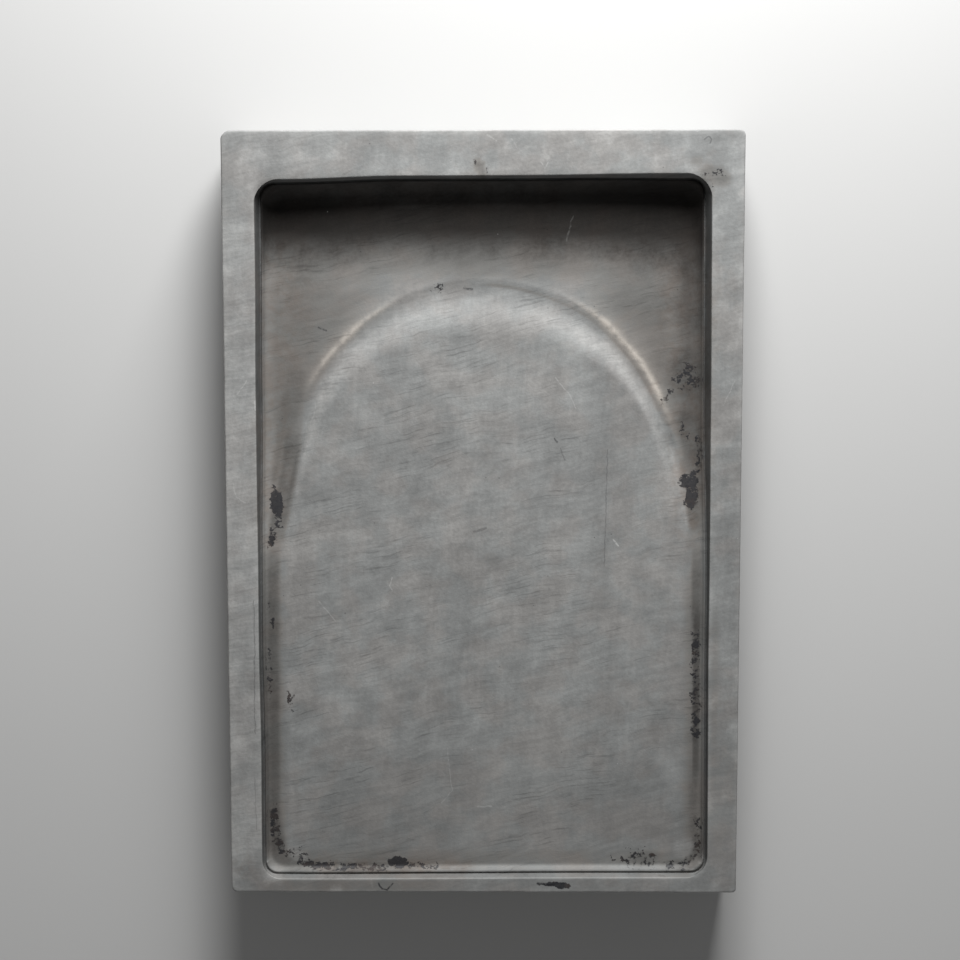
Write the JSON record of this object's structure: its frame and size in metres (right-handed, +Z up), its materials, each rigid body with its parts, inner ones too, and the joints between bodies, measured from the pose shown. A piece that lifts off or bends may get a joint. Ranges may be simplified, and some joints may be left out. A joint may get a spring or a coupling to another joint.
{
  "type": "inkstone",
  "caption": "Rectangular slate inkstone: a raised rim round a flat grinding land with an arched end and a deeper ink pool beyond it.",
  "frame": {"origin": "centre of the flat underside, on the surface that the stone lies on", "axes": "+Z up out of the carved face, +Y along the length towards the ink pool, +X across to the right seen from above with the pool at the far end"},
  "size_m": [0.136, 0.203, 0.028],
  "materials": {
    "slate": "satin"
  },
  "bodies": {
    "root": {"inkstone": "slate"}
  },
  "joints": []
}
